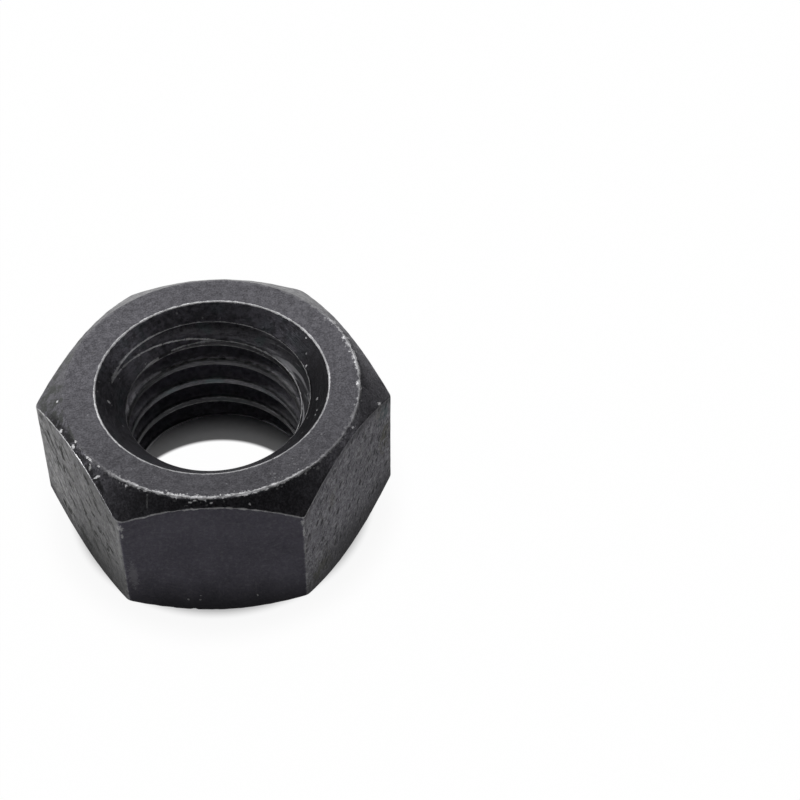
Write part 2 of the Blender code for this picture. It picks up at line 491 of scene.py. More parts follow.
class Wiring:
    """Adds nodes to one material, world or group, and joins them."""

    def __init__(self, tree):
        self.tree = tree

    def put(self, socket, value):
        if isinstance(value, bpy.types.NodeSocket):
            self.tree.links.new(value, socket)
        else:
            socket.default_value = value

    def node(self, kind, settings=None, inputs=None):
        made = self.tree.nodes.new(kind)
        for name, value in (settings or {}).items():
            setattr(made, name, value)
        for name, value in (inputs or {}).items():
            self.put(made.inputs[name], value)
        return made

    def folded(self, operation, first, others):
        """The operation carried out on the first value and each of the others in turn."""
        for other in others:
            first = self.node("ShaderNodeMath", {"operation": operation}, {0: first, 1: other}).outputs[0]
        return first

    def times(self, first, *others):
        return self.folded("MULTIPLY", first, others)

    def plus(self, first, *others):
        return self.folded("ADD", first, others)

    def minus(self, first, *others):
        return self.folded("SUBTRACT", first, others)

    def shared(self, first, *others):
        return self.folded("DIVIDE", first, others)

    def greatest(self, first, *others):
        return self.folded("MAXIMUM", first, others)

    def below(self, value, limit):
        return self.folded("LESS_THAN", value, [limit])

    def vector(self, operation, first, other=(0, 0, 0)):
        """A sum of two vectors or, for LENGTH, DISTANCE and DOT_PRODUCT, the number that comes of them."""
        made = self.node("ShaderNodeVectorMath", {"operation": operation}, {0: first, 1: other})
        number = operation in ("LENGTH", "DISTANCE", "DOT_PRODUCT")
        return made.outputs["Value" if number else "Vector"]

    def scaled(self, vector, factor):
        made = self.node("ShaderNodeVectorMath", {"operation": "SCALE"}, {0: vector, "Scale": factor})
        return made.outputs["Vector"]

    def ramp(self, value, low, high, start=0.0, end=1.0):
        """Start up to the low value, end from the high one on, and an even passage between them."""
        limits = {"Value": value, "From Min": low, "From Max": high, "To Min": start, "To Max": end}
        made = self.node("ShaderNodeMapRange", {"interpolation_type": "SMOOTHSTEP"}, limits)
        return made.outputs["Result"]

    def blend(self, factor, a, b):
        made = self.node("ShaderNodeMix", {"data_type": "RGBA"})
        for number, value in ((0, factor), (6, a), (7, b)):
            self.put(made.inputs[number], value)
        return made.outputs[2]

    def blend_shaders(self, factor, a, b):
        made = self.node("ShaderNodeMixShader", None, {0: factor})
        self.put(made.inputs[1], a.outputs[0])
        self.put(made.inputs[2], b.outputs[0])
        return made

    def noise(self, place, size, detail, roughness):
        given = {"Vector": place, "Scale": 1.0 / size, "Detail": detail, "Roughness": roughness}
        return self.node("ShaderNodeTexNoise", None, given).outputs["Fac"]

    def attribute(self, name):
        return self.node("ShaderNodeAttribute", {"attribute_name": name}).outputs["Fac"]

    def group(self, tree, **inputs):
        return self.node("ShaderNodeGroup", {"node_tree": tree}, inputs).outputs

    def to_output(self, kind, shader):
        self.node(kind, None, {"Surface": shader.outputs[0]})


NUMBER = "NodeSocketFloat"
VECTOR = "NodeSocketVector"


def new_group(name, inputs, outputs):
    """An empty node group: its tree, its wiring, and its input and output sockets by name."""
    tree = bpy.data.node_groups.new(name, "ShaderNodeTree")
    for label in inputs:
        kind = VECTOR if label in ("Place", "Centre", "Half") else NUMBER
        tree.interface.new_socket(name=label, in_out="INPUT", socket_type=kind)
    for label in outputs:
        tree.interface.new_socket(name=label, in_out="OUTPUT", socket_type=NUMBER)
    wires = Wiring(tree)
    return tree, wires, wires.node("NodeGroupInput").outputs, wires.node("NodeGroupOutput").inputs


def grain_group():
    """Fine grain, mottling and broad clouding of oxidised steel, each about 0 to 1."""
    tree, wires, given, made = new_group("oxide_grain", ["Place"], ["Grain", "Mottle", "Cloud"])
    for label, size, detail, roughness, low, high in (
        ("Grain", 0.17, 2.0, 0.6, 0.34, 0.66),
        ("Mottle", 0.6, 4.0, 0.65, 0.36, 0.64),
        ("Cloud", 3.4, 3.0, 0.5, 0.3, 0.7),
    ):
        wires.put(made[label], wires.ramp(wires.noise(given["Place"], size, detail, roughness), low, high))
    return tree


def worn_edge_group():
    """A bright line along an edge: 1 on it, 0 beyond the width, with a ragged border and worn gaps."""
    tree, wires, given, made = new_group("worn_edge", ["Place", "Gap", "Width", "Ragged"], ["Mask"])
    swell = wires.ramp(wires.noise(given["Place"], 0.55, 4.0, 0.7), 0.32, 0.68, -1.0, 1.0)
    width = wires.times(given["Width"], wires.plus(1.0, wires.times(swell, given["Ragged"])))
    line = wires.ramp(wires.shared(given["Gap"], wires.greatest(width, 0.001)), 0.3, 1.0, 1.0, 0.0)
    shine = wires.ramp(wires.noise(given["Place"], 0.9, 3.0, 0.7), 0.38, 0.62)
    faded = wires.minus(1.0, wires.times(shine, 0.6, given["Ragged"]))
    wires.put(made["Mask"], wires.times(line, faded))
    return tree


def speck_group():
    """Scattered small dots: bare spots or pits. Share is the part of all cells that holds a dot."""
    tree, wires, given, made = new_group("scattered_specks", ["Place", "Spacing", "Size", "Share"], ["Mask"])
    bend = wires.node("ShaderNodeTexNoise", None, {"Vector": given["Place"], "Scale": 4.0, "Detail": 2.0})
    shift = wires.scaled(bend.outputs["Color"], 0.18)
    shifted = wires.vector("ADD", shift, given["Place"])
    closeness = wires.shared(1.0, given["Spacing"])
    cells = wires.node("ShaderNodeTexVoronoi", None, {"Vector": shifted, "Scale": closeness})
    parts = wires.node("ShaderNodeSeparateColor", None, {0: cells.outputs["Color"]}).outputs
    picked = wires.below(parts[0], given["Share"])
    size = wires.times(given["Size"], wires.ramp(parts[1], 0.0, 1.0, 0.4, 1.0))
    near = wires.shared(cells.outputs["Distance"], size)
    wires.put(made["Mask"], wires.times(picked, wires.ramp(near, 0.5, 1.0, 1.0, 0.0)))
    return tree


def mark_group():
    """One mark at a chosen place: 1 at its centre, 0 outside its half sizes, ragged along its border."""
    tree, wires, given, made = new_group("placed_mark", ["Place", "Centre", "Half", "Ragged"], ["Mask"])
    away = wires.vector("SUBTRACT", given["Place"], given["Centre"])
    reach = wires.vector("LENGTH", wires.vector("DIVIDE", away, given["Half"]))
    fine = wires.ramp(wires.noise(given["Place"], 0.12, 1.0, 0.5), 0.3, 0.7, -0.35, 0.35)
    coarse = wires.ramp(wires.noise(given["Place"], 0.62, 3.0, 0.6), 0.3, 0.7, -0.85, 0.85)
    fine = wires.times(fine, wires.minus(1.0, given["Ragged"]))
    border = wires.plus(fine, wires.times(coarse, given["Ragged"]))
    wires.put(made["Mask"], wires.ramp(wires.plus(reach, border), 0.45, 1.0, 1.0, 0.0))
    return tree


# Materials


def grey(value, blue=1.0):
    """A near-neutral colour, a little bluer and redder if blue is over 1."""
    return (value * (1 + (blue - 1) * 0.2), value, value * blue, 1.0)


class Steel(Wiring):
    """One finish of the steel, laid up in layers. Places and sizes are in millimetres."""

    bump_strength = 0.5
    bump_depth = 0.03 * MM

    def __init__(self, name, groups):
        self.material = bare_material(name)
        super().__init__(self.material.node_tree)
        self.groups = groups
        self.place = self.scaled(self.node("ShaderNodeTexCoord").outputs["Object"], 1 / MM)
        self.x, self.y, self.z = self.node("ShaderNodeSeparateXYZ", None, {"Vector": self.place}).outputs
        grain = self.group(groups["grain"], Place=self.place)
        self.grain, self.mottle, self.cloud = grain["Grain"], grain["Mottle"], grain["Cloud"]

    def texture(self, size, detail, roughness, low, high, start=0.0, end=1.0, place=None):
        """Noise with swells of about the given size: start where it is low, end where it is high."""
        place = self.place if place is None else place
        return self.ramp(self.noise(place, size, detail, roughness), low, high, start, end)

    def drawn_out(self, way, share):
        """The place scaled down along one direction, so that a texture is stretched that way."""
        along = self.vector("DOT_PRODUCT", self.place, way)
        return self.vector("ADD", self.place, self.scaled(way, self.times(along, share - 1.0)))

    def along_cut(self, share):
        """The place scaled down level, so that a texture is stretched round the bore."""
        return self.vector("MULTIPLY", self.place, (share, share, 1.0))

    def edge(self, gap, width, ragged):
        given = {"Gap": self.attribute(gap), "Width": width, "Ragged": ragged}
        return self.group(self.groups["edge"], Place=self.place, **given)["Mask"]

    def specks(self, spacing, size, share, place=None):
        place = self.place if place is None else place
        given = {"Place": place, "Spacing": spacing, "Size": size, "Share": share}
        return self.group(self.groups["specks"], **given)["Mask"]

    def marks(self, spots, ragged=0.0):
        """The strongest of several placed marks, each given by its centre and its half size or sizes."""
        masks = []
        for centre, half in spots:
            given = {"Centre": centre, "Half": half if isinstance(half, tuple) else (half, half, half)}
            masks.append(self.group(self.groups["mark"], Place=self.place, Ragged=ragged, **given)["Mask"])
        return self.greatest(*masks)

    def crumbs(self):
        """Bright dots scattered beside the rim, where it is worn."""
        close = self.ramp(self.attribute("rim_gap"), 0.65, 0.1, 0.0, 0.75)
        worn = self.ramp(self.attribute("rim_wear"), 0.15, 0.7)
        return self.times(self.specks(0.30, 0.50, 0.5), close, worn)

    def layered(self, colour, *layers):
        """The colour with each layer of (mask, strength, colour) laid over it in turn."""
        for mask, strength, over in layers:
            colour = self.blend(self.times(mask, strength), colour, over)
        return colour

    def finish(self, colour, roughness, metallic, height, shine=0.2):
        shader = self.node("ShaderNodeBsdfPrincipled", None, {"Specular IOR Level": shine})
        for name, value in (("Base Color", colour), ("Roughness", roughness), ("Metallic", metallic)):
            self.put(shader.inputs[name], value)
        given = {"Strength": self.bump_strength, "Distance": self.bump_depth, "Height": height}
        self.put(shader.inputs["Normal"], self.node("ShaderNodeBump", None, given).outputs[0])
        self.to_output("ShaderNodeOutputMaterial", shader)
        return self.material


# Bright spots along the rim of the upper face and patches of flecks on the face, as centres and half sizes
RIM_SPOTS = [((x, y, HEIGHT), (along, across, 0.2)) for x, y, along, across in (
    (2.95, -12.50, 0.45, 0.17), (3.75, -12.28, 0.42, 0.16), (4.60, -11.97, 0.45, 0.16),
    (5.45, -11.62, 0.30, 0.17), (-5.25, -11.74, 0.22, 0.18), (-5.85, -11.47, 0.16, 0.16),
    (-2.70, -12.52, 0.16, 0.30), (-1.30, -12.68, 0.40, 0.12), (0.30, -12.74, 0.35, 0.11),
    (12.60, -0.35, 0.13, 0.25), (12.52, 2.15, 0.13, 0.22), (11.55, 5.20, 0.13, 0.22),
)]
FACE_FLECKS = [
    ((7.6, -8.6, 15.0), (1.6, 1.2, 0.5)), ((5.2, -10.8, 15.0), (1.4, 0.7, 0.5)),
    ((-4.0, -11.2, 15.0), (1.5, 0.5, 0.5)),
]


def face_steel(groups):
    """The flat ring at both ends: satin oxide with fine grain, worn bright along the mouth and the rim."""
    steel = Steel("oxide_end_face", groups)
    times, plus, specks = steel.times, steel.plus, steel.specks
    y, grain, mottle = steel.y, steel.grain, steel.mottle
    flecks = times(specks(0.32, 0.5, 0.4), steel.marks(FACE_FLECKS), 0.6)
    bright = steel.greatest(times(specks(0.5, 0.24, 0.12), 0.45), flecks)
    # Painted shade: the face is darker towards the front and a little darker towards the back.
    shaded = plus(steel.ramp(y, -13.0, 2.0, 0.36, 0.0), steel.ramp(y, 7.0, 12.0, 0.0, 0.12))
    mouth = times(steel.edge("mouth_gap", 0.10, 0.55), steel.attribute("mouth_wear"))
    rim = times(steel.edge("rim_gap", 0.22, 0.9), steel.attribute("rim_wear"))
    colour = steel.layered(
        steel.blend(steel.cloud, grey(0.062, 1.16), grey(0.086, 1.14)),
        (mottle, 0.55, grey(0.044, 1.18)),
        (grain, 0.65, grey(0.140, 1.12)),
        (bright, 1.0, grey(0.34, 1.04)),
        (specks(0.7, 0.34, 0.3), 0.5, grey(0.03, 1.1)),
        (shaded, 1.0, grey(0.02, 1.15)),
        (steel.greatest(mouth, rim, steel.crumbs(), steel.marks(RIM_SPOTS)), 1.0, grey(0.80, 1.02)),
    )
    roughness = plus(times(mottle, 0.1), 0.5)
    height = plus(times(grain, 0.6), times(mottle, 0.5))
    return steel.finish(colour, roughness, 0.35, height)


# Bare spots and scratches on the upper chamfer, as centres and half sizes
CHAMFER_MARKS = [
    ((-13.36, -1.16, 14.58), 0.16), ((-12.86, -4.43, 14.42), 0.22),
    ((-11.42, -6.15, 14.94), 0.15), ((-11.62, -6.46, 14.67), 0.20),
    ((-10.24, -7.90, 14.98), (0.22, 0.16, 0.20)), ((-10.04, -8.19, 14.96), (0.26, 0.18, 0.20)),
    ((-9.29, -8.98, 14.98), 0.17), ((-8.41, -9.77, 15.00), 0.16),
    ((-6.93, -11.09, 14.85), 0.16), ((-9.50, -9.72, 14.42), (0.42, 0.10, 0.40)),
    ((-1.57, -13.06, 14.78), (0.22, 0.10, 0.10)), ((-1.20, -12.97, 14.88), (0.24, 0.08, 0.08)),
    ((-0.33, -13.00, 14.95), 0.14), ((0.16, -13.17, 14.77), (0.20, 0.10, 0.10)),
    ((3.36, -13.14, 14.45), 0.12), ((12.08, -5.26, 14.77), 0.15),
    ((14.48, -1.58, 13.62), (0.40, 0.28, 0.16)),
]
CHAMFER_SCRATCHES = [
    ((-5.17, -12.60, 14.40), (0.07, 0.62, 0.60)), ((-10.08, -8.75, 14.63), (0.14, 0.34, 0.30)),
    ((10.14, -8.09, 14.94), 0.14), ((9.03, -9.69, 14.71), 0.16),
    ((-1.99, -13.25, 14.60), (0.30, 0.08, 0.08)), ((-0.20, -13.29, 14.67), (0.20, 0.08, 0.08)),
]


def chamfer_steel(groups):
    """The turned chamfers: smoother metal that mirrors the dark side of the studio, with bare spots."""
    steel = Steel("oxide_chamfer", groups)
    ramp, times, plus = steel.ramp, steel.times, steel.plus
    x, y, grain, mottle = steel.x, steel.y, steel.grain, steel.mottle
    arc_gap = steel.attribute("arc_gap")
    stained = times(steel.texture(1.1, 4.0, 0.65, 0.45, 0.58), ramp(x, -9.0, -11.5, 0.0, 0.8))
    # A dark strip along the arc of the left flat
    strip = times(
        ramp(arc_gap, 1.0, 0.45, 0.0, 0.92),
        ramp(x, -8.2, -9.2),
        ramp(y, -0.8, -3.2),
        ramp(steel.z, 7.0, 9.0),
        steel.texture(0.55, 3.0, 0.65, 0.36, 0.50, 0.35, 1.0),
    )
    # Painted shade: the chamfer is darker at the front and a little darker at the back.
    shaded = plus(ramp(y, -6.0, -11.0, 0.0, 0.3), ramp(y, 2.0, 8.0, 0.0, 0.25))
    rim = times(steel.edge("rim_gap", 0.18, 0.95), steel.attribute("rim_wear"))
    arc = times(steel.edge("arc_gap", 0.08, 0.8), steel.attribute("arc_wear"), 0.7)
    bare = steel.greatest(rim, steel.crumbs(), arc, steel.marks(CHAMFER_MARKS + RIM_SPOTS))
    # Painted shade along the arc of the pitted flat hides the light line that its rounded edge catches.
    beside_pits = times(ramp(arc_gap, 0.25, 0.02), ramp(steel.attribute("pits"), 0.7, 1.0))
    colour = steel.layered(
        steel.blend(steel.cloud, grey(0.068, 1.14), grey(0.092, 1.12)),
        (mottle, 0.75, grey(0.032, 1.16)),
        (grain, 0.6, grey(0.16, 1.12)),
        (stained, 1.0, (0.034, 0.037, 0.032, 1)),
        (steel.specks(0.7, 0.2, 0.12), 0.5, grey(0.3, 1.03)),
        (steel.greatest(shaded, strip), 1.0, grey(0.01, 1.1)),
        # Painted light: the chamfer is lighter towards the right.
        (ramp(x, 11.0, 13.5), 0.3, grey(0.2, 1.1)),
        (steel.marks(CHAMFER_SCRATCHES), 0.35, grey(0.5)),
        (bare, 1.0, grey(0.75, 1.02)),
        (beside_pits, 0.75, grey(0.01, 1.1)),
    )
    metallic = ramp(bare, 0.1, 0.8, 0.85, 0.2)
    roughness = plus(times(mottle, 0.1), 0.29)
    height = plus(times(grain, 0.25), times(mottle, 0.4))
    return steel.finish(colour, roughness, metallic, height)


# Small marks on the front flat, as centres and half sizes
FLAT_MARKS = [
    ((-2.60, -13.5, 2.10), (0.14, 0.3, 0.14)), ((-1.58, -13.5, 2.00), (0.13, 0.3, 0.13)),
    ((-1.47, -13.5, 2.60), (0.10, 0.3, 0.09)), ((3.42, -13.5, 2.40), (0.08, 0.3, 0.16)),
    ((-7.55, -13.4, 12.1), (0.30, 0.5, 0.45)), ((-7.50, -13.4, 11.1), (0.12, 0.4, 0.40)),
    ((7.62, -13.4, 12.2), (0.16, 0.5, 0.35)), ((7.70, -13.4, 10.9), (0.10, 0.4, 0.80)),
]
# A painted highlight: a soft light band on the front flat near its left corner, as centre and half sizes
FLAT_SHEEN = [((-7.05, -13.5, 5.8), (0.5, 1.0, 2.2))]

# Marks on one flat: the bearing of its normal, then for each mark its place along the flat, its depth below
# the top face and its half sizes both ways
DARK_BLOTCHES = (210, [
    (-2.8, 3.4, 0.40, 1.30), (-4.3, 6.3, 0.30, 0.75), (-3.0, 5.7, 0.28, 0.60), (-1.5, 5.6, 0.35, 0.30),
    (2.45, 2.1, 0.60, 0.50), (2.6, 6.5, 0.50, 0.32), (1.7, 5.7, 0.42, 0.30), (3.6, 7.5, 0.75, 0.40),
    (0.5, 8.2, 0.75, 0.42), (1.4, 8.6, 0.50, 0.55), (5.4, 8.1, 0.80, 0.36), (2.5, 9.3, 0.80, 0.40),
    (5.5, 1.5, 0.60, 0.30), (0.1, 2.7, 0.35, 0.35), (6.5, 8.9, 0.60, 0.32), (4.6, 9.1, 0.60, 0.30),
    (-5.6, 3.6, 0.35, 0.40), (3.9, 4.6, 0.50, 0.25), (-3.6, 12.0, 1.30, 0.55), (-0.6, 12.6, 1.60, 0.50),
])
PALE_PATCHES = (210, [
    (-5.3, 9.6, 2.20, 2.30), (-1.9, 4.6, 0.55, 1.40), (1.2, 3.2, 0.70, 1.10), (6.3, 4.6, 0.80, 1.70),
    (-6.2, 5.0, 0.90, 1.60), (4.6, 5.9, 0.60, 0.60), (-0.6, 7.0, 0.80, 0.50),
])
FAINT_SCRATCHES = (270, [
    (1.33, 4.95, 0.60, 0.05), (0.62, 6.4, 0.80, 0.05), (3.35, 11.3, 0.05, 0.90), (2.6, 11.1, 0.35, 0.16),
    (4.4, 6.9, 0.30, 0.05), (-2.3, 10.4, 0.25, 0.05), (2.1, 9.6, 0.40, 0.05),
])
BROWN_PATCHES = (330, [(6.3, 6.2, 0.9, 1.7), (-5.2, 11.8, 1.7, 1.5)])
TEAL_PATCHES = (330, [(6.6, 3.0, 0.9, 1.2)])


def on_flat(bearing, spots):
    """Marks given by their places on one flat, as centres and half sizes."""
    out = (cos(radians(bearing)) * ACROSS_FLATS / 2, sin(radians(bearing)) * ACROSS_FLATS / 2)
    found = []
    for along, down, half_along, half_down in spots:
        share = along / (ACROSS_FLATS / 2)
        centre = (out[0] - out[1] * share, out[1] + out[0] * share, HEIGHT - down)
        found.append((centre, (half_along, half_along, half_down)))
    return found


def flat_holes(steel, pits):
    """Pits of two sizes, drawn out a little along a slant. Only the pitted flats have many."""
    leaning = steel.drawn_out((0.25, 0.433, 0.866), 0.6)
    large = steel.specks(0.62, 0.50, 0.6, leaning)
    small = steel.times(steel.specks(0.34, 0.60, 0.55, leaning), 0.8)
    return steel.times(steel.greatest(large, small), steel.plus(steel.times(pits, 0.82), 0.03))


def flat_blotches(steel, streaks):
    """Dark blotches in loose rows that run down and towards the front, and the listed ones."""
    slanted = steel.drawn_out((0.383, -0.663, -0.643), 0.42)
    loose = steel.texture(0.85, 4.0, 0.72, 0.49, 0.39, place=slanted)
    patch = steel.texture(3.0, 2.0, 0.5, 0.40, 0.56, 0.2, 1.0)
    placed = steel.times(steel.marks(on_flat(*DARK_BLOTCHES), 0.8), 0.88)
    return steel.greatest(steel.times(loose, patch, streaks, 0.72), placed)


def flat_wear(steel, streaks):
    """Bare metal along the arcs and the corners, faint towards the foot."""
    arc = steel.times(steel.edge("arc_gap", 0.10, 0.9), steel.attribute("arc_wear"), 0.85)
    corner = steel.times(steel.edge("corner_gap", 0.13, 0.95), 0.22)
    blunt = steel.ramp(steel.attribute("corner_gap"), 0.75, 0.1, 0.0, 0.14)
    blunt = steel.times(blunt, streaks, steel.ramp(steel.z, 5.0, 10.0, 0.2, 1.0))
    worn = steel.greatest(arc, corner, blunt, steel.times(steel.marks(FLAT_MARKS), 0.5))
    return steel.times(worn, steel.ramp(steel.z, 0.8, 3.2, 0.2, 1.0))


def flat_steel(groups):
    """The six flats, smooth and dark, blotched and greyer, or pitted. Painted shade darkens all towards
    their foot.
    """
    steel = Steel("oxide_flats", groups)
    ramp, times, marks, blend = steel.ramp, steel.times, steel.marks, steel.blend
    y, z, cloud, mottle = steel.y, steel.z, steel.cloud, steel.mottle
    streaks = steel.attribute("streaks")
    pits = steel.attribute("pits")
    pitted_flat = ramp(pits, 0.7, 1.0)
    lively = steel.greatest(pits, streaks, 0.2)
    # Base tones of the three kinds of flat: partly their own oxide, partly painted light that makes each
    # side lighter or darker.
    smooth = blend(cloud, grey(0.088, 1.28), grey(0.110, 1.26))
    greyer = blend(cloud, (0.205, 0.206, 0.197, 1), (0.290, 0.291, 0.280, 1))
    pitted = blend(cloud, grey(0.066, 1.2), grey(0.098, 1.18))
    light = steel.texture(0.42, 3.0, 0.65, 0.50, 0.64)
    pale = times(marks(on_flat(*PALE_PATCHES), 1.0), ramp(mottle, 0.9, 0.2, 0.1, 0.55))
    rust = times(steel.texture(2.6, 3.0, 0.6, 0.56, 0.72), pits)
    blotched = flat_blotches(steel, streaks)
    hole = flat_holes(steel, pits)
    # Painted shade: every flat darkens towards its foot, over a shorter height on the streaked flats.
    foot_top = steel.plus(times(streaks, -2.4), 6.8)
    foot = ramp(steel.plus(z, times(cloud, 0.8)), 0.7, foot_top, 0.92, 0.0)
    # Painted shade: the streaked flats are darker towards the front, most of all low down at the front.
    low_front = times(ramp(z, 8.0, 3.5), ramp(y, -3.0, -8.0, 0.0, 0.42))
    shaded = times(steel.plus(ramp(y, -3.0, -11.5, 0.0, 0.32), low_front), streaks)
    # Painted shade: the pitted flat is darker towards the back.
    rearward = times(ramp(y, -9.5, -4.0, 0.0, 0.14), pitted_flat)
    # The pitted flat has no clear border to its chamfer: painted shade along its arc hides the light line of
    # the rounded edge
    border = times(
        ramp(steel.attribute("arc_gap"), 0.9, 0.05, 0.0, 0.75),
        pitted_flat,
        steel.texture(0.5, 3.0, 0.6, 0.35, 0.6, 0.4, 1.0),
    )
    scratches = times(marks(on_flat(*FAINT_SCRATCHES)), 0.12)
    # A painted highlight on the front flat, together with faint real scratches.
    sheen_and_scratches = steel.greatest(times(marks(FLAT_SHEEN), 0.3), scratches)
    colour = steel.layered(
        blend(streaks, blend(pits, smooth, pitted), greyer),
        (times(mottle, lively), 0.6, grey(0.05, 1.1)),
        (times(light, lively), 0.52, grey(0.36, 1.02)),
        (pale, 1.0, (0.40, 0.40, 0.39, 1)),
        (steel.grain, steel.plus(times(lively, 0.42), 0.03), grey(0.30, 1.1)),
        (rust, 0.4, (0.105, 0.100, 0.078, 1)),
        (marks(on_flat(*BROWN_PATCHES), 1.0), 0.7, (0.060, 0.058, 0.040, 1)),
        (marks(on_flat(*TEAL_PATCHES), 1.0), 0.7, (0.060, 0.085, 0.088, 1)),
        (blotched, 1.0, (0.022, 0.023, 0.020, 1)),
        (hole, 1.0, grey(0.015, 1.15)),
        (foot, 1.0, grey(0.012, 1.15)),
        (shaded, 1.0, grey(0.03, 1.0)),
        (rearward, 1.0, grey(0.03, 1.1)),
        (border, 1.0, grey(0.035, 1.1)),
        (sheen_and_scratches, 1.0, grey(0.35, 1.05)),
        (flat_wear(steel, streaks), 1.0, grey(0.75)),
    )
    roughness = steel.plus(times(streaks, 0.12), 0.5)
    height = steel.plus(times(steel.grain, 0.3), times(mottle, lively, 0.6))
    height = steel.minus(height, times(steel.plus(hole, blotched), 1.5))
    return steel.finish(colour, roughness, 0.02, height, shine=0.02)


# Bare spots on the countersink, as centres and half sizes
BORE_MARKS = [
    ((8.20, 5.53, 14.72), 0.10), ((6.97, 4.02, 12.87), 0.14),
    ((8.14, 3.20, 13.57), 0.14), ((9.06, -1.14, 13.96), 0.16),
    ((9.05, -2.71, 14.27), 0.14), ((8.87, -3.30, 14.29), 0.12),
    ((-9.00, -0.70, 13.85), 0.20),
]


def thread_steel(groups):
    """The countersinks and the thread: blue-black metal drawn out along the cut, with brighter ridges."""
    steel = Steel("oxide_thread", groups)
    ramp, times, plus = steel.ramp, steel.times, steel.plus
    x, y, mottle = steel.x, steel.y, steel.mottle
    mouth_gap = steel.attribute("mouth_gap")
    sunk = steel.attribute("groove_depth")
    crest = ramp(sunk, 0.02, 0.35, 1.0, 0.0)
    in_cone = ramp(mouth_gap, 3.3, 3.7, 1.0, 0.0)
    # A height that stays the same all along one turn of the thread, as far as the back half of the bore goes
    turn_height = plus(steel.z, times(x, 0.082))
    drawn = steel.texture(0.16, 3.0, 0.6, 0.38, 0.66, place=steel.along_cut(0.16))
    tint = steel.texture(1.7, 2.0, 0.5, 0.54, 0.68)
    # The grooves are painted a much lighter grey, most of all at the back of the bore: partly a duller
    # oxide, partly painted light on the flanks
    dull_oxide_and_light = times(
        ramp(turn_height, 4.0, 9.0, 0.25, 0.85),
        ramp(turn_height, 11.6, 10.4, 0.08, 1.0),
        ramp(y, -3.0, 3.0, 0.3, 1.0),
        ramp(sunk, 0.05, 0.45),
    )
    groove_grey = steel.blend(mottle, grey(0.52, 1.12), grey(0.34, 1.14))
    # The crests are painted darker near both ends of the thread, deep in the bore as painted shade, and the
    # upper full one gets a broad, streaky painted highlight
    low_crest = ramp(turn_height, 4.9, 6.6, 0.80, 0.0)
    high_crest = ramp(turn_height, 8.0, 9.2, 0.0, 0.66)
    broad = times(
        ramp(turn_height, 9.0, 9.6),
        ramp(turn_height, 10.9, 10.3),
        ramp(sunk, 0.8, 0.25),
        ramp(drawn, 0.1, 0.7, 0.2, 1.0),
        ramp(sunk, 0.02, 0.2, 0.1, 1.0),
    )
    # Painted light: the countersink is painted lighter at the back of the bore.
    rear = times(in_cone, crest, ramp(y, 0.0, 5.0, 0.10, 0.24), ramp(mottle, 0.0, 1.0, 1.0, 0.3))
    # Painted shade: the countersink is darker to the right and a little to the left, and the thread below it
    # darker at the upper right.
    shade = plus(ramp(x, 3.0, 9.0, 0.0, 0.86), ramp(x, -3.0, -9.0, 0.0, 0.3))
    side = times(ramp(x, 5.0, 8.2, 0.0, 0.85), ramp(steel.z, 8.0, 10.5))
    # Fine light lines along the cut, where the thread runs out at the right
    lines = times(
        steel.texture(0.20, 1.0, 0.5, 0.54, 0.62, 0.0, 0.5, steel.along_cut(0.05)),
        ramp(x, 3.0, 7.0),
        ramp(mouth_gap, 2.4, 3.0),
    )
    # The bright ridge lines are worn metal, painted brighter near the mouth and fainter deep down and at the
    # left: partly a painted highlight.
    ridge = times(
        steel.edge("ridge_gap", 0.10, 0.6),
        ramp(turn_height, 10.6, 11.6, 0.35, 1.0),
        ramp(turn_height, 2.8, 4.4),
        ramp(x, -8.0, -4.0, 0.28, 1.0),
    )
    mouth = times(steel.edge("mouth_gap", 0.10, 0.5), steel.attribute("mouth_wear"))
    bare = steel.greatest(ridge, mouth, times(steel.marks(BORE_MARKS), 0.6))
    colour = steel.layered(
        steel.blend(steel.cloud, grey(0.050, 1.18), grey(0.072, 1.16)),
        (drawn, 0.55, grey(0.19, 1.1)),
        (mottle, 0.5, grey(0.03, 1.15)),
        (steel.grain, 0.35, grey(0.20, 1.08)),
        (tint, 0.45, (0.062, 0.105, 0.104, 1)),
        (dull_oxide_and_light, 1.0, groove_grey),
        (plus(low_crest, high_crest), crest, grey(0.008, 1.15)),
        (broad, 0.75, grey(0.85, 1.06)),
        (rear, 1.0, grey(0.26, 1.2)),
        (steel.greatest(times(shade, in_cone), side), 1.0, grey(0.005, 1.2)),
        (lines, 1.0, grey(0.45, 1.05)),
        (steel.specks(0.55, 0.26, 0.16), 0.5, grey(0.30, 1.05)),
        (times(steel.specks(0.5, 0.5, 0.3), in_cone), 0.5, grey(0.012, 1.1)),
        (bare, 1.0, grey(0.72, 1.02)),
    )
    metallic = times(ramp(bare, 0.1, 0.8, 0.6, 0.25), ramp(sunk, 0.05, 0.45, 1.0, 0.2))
    height = plus(times(drawn, 1.2), times(mottle, 0.5))
    return steel.finish(colour, 0.42, metallic, height, shine=0.1)


# Studio


def seen_share(wires):
    """1 for rays that show a surface as it looks, 0 for rays that only gather light."""
    path = wires.node("ShaderNodeLightPath").outputs
    return wires.greatest(path["Is Camera Ray"], path["Is Glossy Ray"], path["Is Transmission Ray"])


def studio_world():
    """Soft even light, and a white backdrop for the camera and for reflections."""
    world = bpy.data.worlds.new("studio")
    bpy.context.scene.world = world
    world.use_nodes = True
    world.node_tree.nodes.clear()
    wires = Wiring(world.node_tree)
    light = wires.node("ShaderNodeBackground", None, {"Color": (1, 1, 1, 1), "Strength": 0.3})
    backdrop = wires.node("ShaderNodeBackground", None, {"Color": (1, 1, 1, 1), "Strength": 1.0})
    wires.to_output("ShaderNodeOutputWorld", wires.blend_shaders(seen_share(wires), light, backdrop))


def flat_board(name, corners):
    """One square board, its corners in millimetres."""
    mesh = bpy.data.meshes.new(name)
    mesh.from_pydata([Vector(corner) * MM for corner in corners], [], [(0, 1, 2, 3)])
    board = in_scene(name, mesh)
    return board


